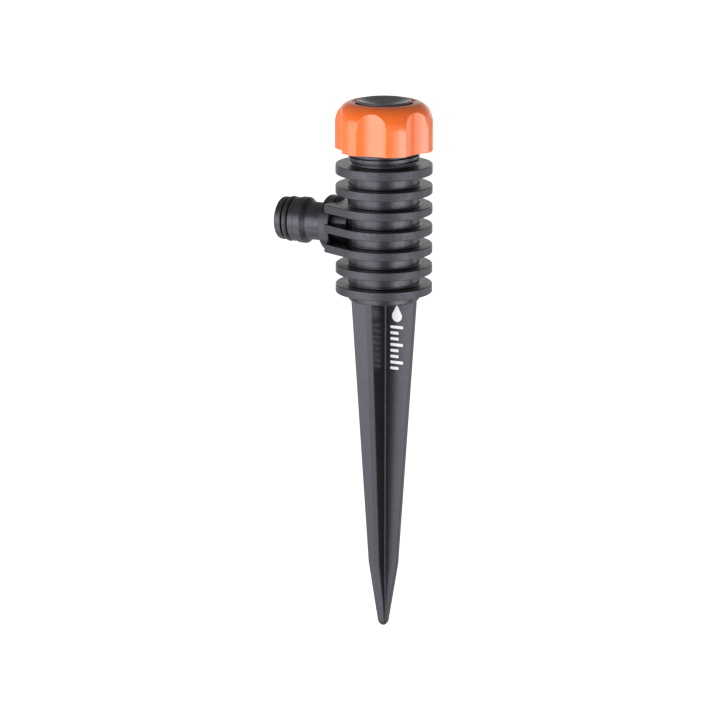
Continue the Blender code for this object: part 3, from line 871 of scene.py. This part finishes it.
def moulded(name, dark, light, rough, grain, grain_depth, tint=(1, 1, 1), specular=0.5):
    """Moulded plastic: a faint cloud in its colour, uneven gloss, a fine grain and slight waviness."""
    cloud, wave, wave_depth = 0.0035, 0.012, 0.00002
    made = Finish(name, rough[0], Specular_Tint=(*tint, 1), Specular_IOR_Level=specular)
    made.colour(made.ramp(made.noise(cloud, 3), dark, light))
    made.roughness(made.spread(made.noise(grain * 3, 3), *rough))
    made.relief(made.noise(wave, 1), wave_depth)
    made.relief(made.noise(grain, 2), grain_depth)
    return made.material


def seal_rubber():
    """Black rubber, duller than the plastics."""
    made = Finish("seal_rubber", 0.45)
    made.colour(made.ramp(made.noise(0.002, 3), (0.009, 0.009, 0.010), (0.016, 0.016, 0.018)))
    made.roughness(made.spread(made.noise(0.0012, 2), 0.32, 0.5))
    made.relief(made.noise(0.00025, 2), 0.000006)
    return made.material


def turned_steel():
    """Steel with fine rings around Z from turning."""
    made = Finish("turned_steel", 0.28, Metallic=1.0)
    rings = made.noise(0.0002, 2, stretch=(20, 20, 1))
    made.colour(made.ramp(made.noise(0.003, 2), (0.50, 0.51, 0.52), (0.62, 0.62, 0.62)))
    made.roughness(made.spread(rings, 0.2, 0.36))
    made.relief(rings, 0.000004)
    return made.material


def white_print():
    """Matt white ink."""
    made = Finish("white_print", 0.5)
    made.colour(made.ramp(made.noise(0.0008, 3), (0.70, 0.70, 0.71), (0.78, 0.78, 0.79)))
    made.relief(made.noise(0.0002, 2), 0.000004)
    return made.material


def black_plastics():
    """The violet-black plastics, from the coarsest grain to the finest."""
    violet = (0.88, 0.85, 1.0)
    return [
        moulded(
            "grained_black",
            dark=(0.008, 0.008, 0.009),
            light=(0.013, 0.0125, 0.014),
            rough=(0.34, 0.5),
            grain=0.0006,
            grain_depth=0.0001,
            tint=violet,
            specular=0.62,
        ),
        moulded(
            "nipple_black",
            dark=(0.009, 0.009, 0.010),
            light=(0.014, 0.0135, 0.015),
            rough=(0.3, 0.42),
            grain=0.0005,
            grain_depth=0.00003,
            tint=violet,
            specular=0.6,
        ),
        moulded(
            "ribbed_black",
            dark=(0.005, 0.005, 0.0057),
            light=(0.008, 0.0077, 0.0087),
            rough=(0.27, 0.36),
            grain=0.0004,
            grain_depth=0.000008,
            tint=violet,
            specular=0.55,
        ),
        # Satin black: a glossier finish, with a darker colour that is painted shade on the body's tube
        # and level faces.
        moulded(
            "satin_black_painted_shade",
            dark=(0.0055, 0.0055, 0.0062),
            light=(0.0085, 0.0082, 0.0092),
            rough=(0.22, 0.3),
            grain=0.0005,
            grain_depth=0.000006,
            tint=violet,
        ),
        moulded(
            "disc_black",
            dark=(0.050, 0.049, 0.051),
            light=(0.064, 0.062, 0.064),
            rough=(0.2, 0.28),
            grain=0.0006,
            grain_depth=0.000001,
            tint=violet,
            specular=0.75,
        ),
    ]


def light_plastics():
    """The nut's orange, and the acetals of the inner pieces."""
    return [
        moulded(
            "orange",
            dark=(0.70, 0.112, 0.007),
            light=(0.76, 0.128, 0.010),
            rough=(0.16, 0.22),
            grain=0.0005,
            grain_depth=0.000003,
            specular=0.68,
        ),
        moulded(
            "acetal",
            dark=(0.58, 0.58, 0.53),
            light=(0.66, 0.66, 0.62),
            rough=(0.38, 0.5),
            grain=0.0004,
            grain_depth=0.000008,
        ),
        moulded(
            "bush_acetal",
            dark=(0.66, 0.62, 0.50),
            light=(0.75, 0.71, 0.60),
            rough=(0.3, 0.42),
            grain=0.0004,
            grain_depth=0.000006,
        ),
    ]


def make_finishes():
    """Every material by its name."""
    made = black_plastics() + light_plastics() + [seal_rubber(), turned_steel(), white_print()]
    return {material.name: material for material in made}


CARRIED_OVER = {
    "acetal": ("swirl_ring", "turbine_wheel", "upper_guide"),
    "bush_acetal": ("lower_bush", "upper_bush"),
    "turned_steel": (
        "rotor_shaft",
        "lower_thrust_washer",
        "upper_thrust_washer",
        "wheel_clip",
        "shaft_clip",
        "guide_snap_ring",
    ),
    "seal_rubber": ("socket_o_ring", "base_o_ring", "nut_seal_ring"),
}


def refinish_carried_over(finishes):
    """The inner CAD pieces keep their shapes and take the detailed finishes."""
    for finish, nodes in CARRIED_OVER.items():
        for node in nodes:
            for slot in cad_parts[node].material_slots:
                slot.material = finishes[finish]


# ---------- camera, lights and floor ----------

# Metres from here on
CAMERA_AZIMUTH = radians(26)  # from -Y towards +X
CAMERA_ELEVATION = radians(13.9)
CAMERA_DISTANCE = 1.4
CAMERA_LENS = 187.2
AIM_Z = -0.0236
AIM_ASIDE = 0.00888  # how far left of the body's axis the camera points

# Softboxes: azimuth from the camera's and elevation from the level, in degrees, then width, height,
# radiance and distance from the object
SOFTBOXES = {
    "left_box": (-53, 1, 1.36, 0.74, 2.0, 0.8),
    "left_core": (-44, 1, 0.62, 0.54, 1.8, 0.8),
    "left_low_box": (-50, -48, 0.68, 0.36, 2.0, 0.6),
    "right_box": (54, -12.5, 1.05, 0.34, 2.1, 0.8),
    "right_core": (51, -10, 0.5, 0.3, 2.7, 0.8),
    "right_strip": (116, -10, 0.34, 0.46, 0.8, 0.8),
    "back_left_box": (-162, -10, 0.4, 0.6, 0.75, 0.8),
    "back_right_box": (162, -10, 0.4, 0.6, 0.75, 0.8),
}

# Backdrop and floor: "felt" is what lights the object, and "seen" is what the camera sees directly
BACKDROP_FADE_Z = (0.1, 0.4)  # upward part of a direction where the fade starts and ends
BACKDROP_FELT = (0.95, 0.32)  # below the fade and above it
BACKDROP_SEEN = 1.0
FLOOR_Z = -0.5
FLOOR_HALF = 20.0
FLOOR_PAINT_FELT = 0.02
FLOOR_PAINT_SEEN = 0.8
FLOOR_FADE = (-0.85, -0.5)  # share of a place's distance that lies towards the camera
FLOOR_GLOW_FELT = (0.25, 0.9)  # behind the fade and in front of it
FLOOR_GLOW_SEEN = 0.9


def around_camera(azimuth, elevation):
    """A direction from the object, given from the camera's own azimuth, positive to its right."""
    turn = CAMERA_AZIMUTH + azimuth
    return Vector((sin(turn) * cos(elevation), -cos(turn) * cos(elevation), sin(elevation)))


def face_towards(thing, place, target):
    """Puts a camera or a light in the scene at place, pointing at target."""
    thing.location = place
    thing.rotation_euler = (target - place).to_track_quat("-Z", "Y").to_euler()
    bpy.context.scene.collection.objects.link(thing)


def make_camera():
    data = bpy.data.cameras.new("camera")
    data.lens = CAMERA_LENS
    data.sensor_width = 36
    data.clip_end = 50
    camera = bpy.data.objects.new("camera", data)
    right = Vector((cos(CAMERA_AZIMUTH), sin(CAMERA_AZIMUTH), 0))
    target = Vector((0, 0, AIM_Z)) - right * AIM_ASIDE
    face_towards(camera, target + around_camera(0, CAMERA_ELEVATION) * CAMERA_DISTANCE, target)
    bpy.context.scene.camera = camera


def softbox(name, azimuth, elevation, width, height, radiance, distance):
    """A rectangular light that faces the object."""
    data = bpy.data.lights.new(name, "AREA")
    data.shape = "RECTANGLE"
    data.size = width
    data.size_y = height
    data.energy = radiance * pi * width * height
    lamp = bpy.data.objects.new(name, data)
    middle = Vector((0, 0, AIM_Z))
    place = middle + around_camera(radians(azimuth), radians(elevation)) * distance
    face_towards(lamp, place, middle)


def make_lights():
    for name, settings in SOFTBOXES.items():
        softbox(name, *settings)


def felt_or_seen(tree, felt, seen):
    """A grey for the light that falls on the object, and another for what the camera sees directly."""
    direct = tree.nodes.new("ShaderNodeLightPath").outputs["Is Camera Ray"]
    return map_range(tree, direct, (0, 1), (felt, seen))


def make_backdrop():
    """A white world. The object feels it fade out overhead, and the camera sees it plain white."""
    world = bpy.data.worlds.new("studio")
    bpy.context.scene.world = world
    world.use_nodes = True
    tree = world.node_tree
    direction = tree.nodes.new("ShaderNodeTexCoord").outputs["Generated"]
    split = tree.nodes.new("ShaderNodeSeparateXYZ")
    tree.links.new(direction, split.inputs["Vector"])
    felt = map_range(tree, split.outputs["Z"], BACKDROP_FADE_Z, BACKDROP_FELT)
    tree.links.new(felt_or_seen(tree, felt, BACKDROP_SEEN), tree.nodes["Background"].inputs["Color"])
    bpy.context.scene.view_settings.view_transform = "Standard"


def along_view(tree):
    """Where a place on the floor lies: 1 is straight towards the camera, and -1 straight away from it."""
    outwards = tree.nodes.new("ShaderNodeVectorMath")
    outwards.operation = "NORMALIZE"
    tree.links.new(tree.nodes.new("ShaderNodeNewGeometry").outputs["Position"], outwards.inputs[0])
    towards = tree.nodes.new("ShaderNodeVectorMath")
    towards.operation = "DOT_PRODUCT"
    towards.inputs[1].default_value = around_camera(0, 0)
    tree.links.new(outwards.outputs["Vector"], towards.inputs[0])
    return towards.outputs["Value"]


def make_floor():
    """A pale floor. The object feels less of its glow from straight behind."""
    made = bmesh.new()
    bmesh.ops.create_grid(made, x_segments=1, y_segments=1, size=FLOOR_HALF / MM)
    floor = to_object("floor", made)
    floor.location.z = FLOOR_Z
    paint = bpy.data.materials.new("pale_floor")
    paint.use_nodes = True
    tree = paint.node_tree
    shader = tree.nodes["Principled BSDF"]
    shader.inputs["Roughness"].default_value = 0.9
    shader.inputs["Emission Strength"].default_value = 1.0
    colour = felt_or_seen(tree, FLOOR_PAINT_FELT, FLOOR_PAINT_SEEN)
    tree.links.new(colour, shader.inputs["Base Color"])
    felt = map_range(tree, along_view(tree), FLOOR_FADE, FLOOR_GLOW_FELT)
    tree.links.new(felt_or_seen(tree, felt, FLOOR_GLOW_SEEN), shader.inputs["Emission Color"])
    floor.data.materials.append(paint)


def main():
    make_camera()
    make_lights()
    make_backdrop()
    make_floor()
    finishes = make_finishes()
    make_body(finishes)
    make_spike(finishes)
    make_mark(finishes)
    make_nipple(finishes)
    make_nose_ring(finishes)
    make_nut(finishes)
    make_disc(finishes)
    refinish_carried_over(finishes)


main()
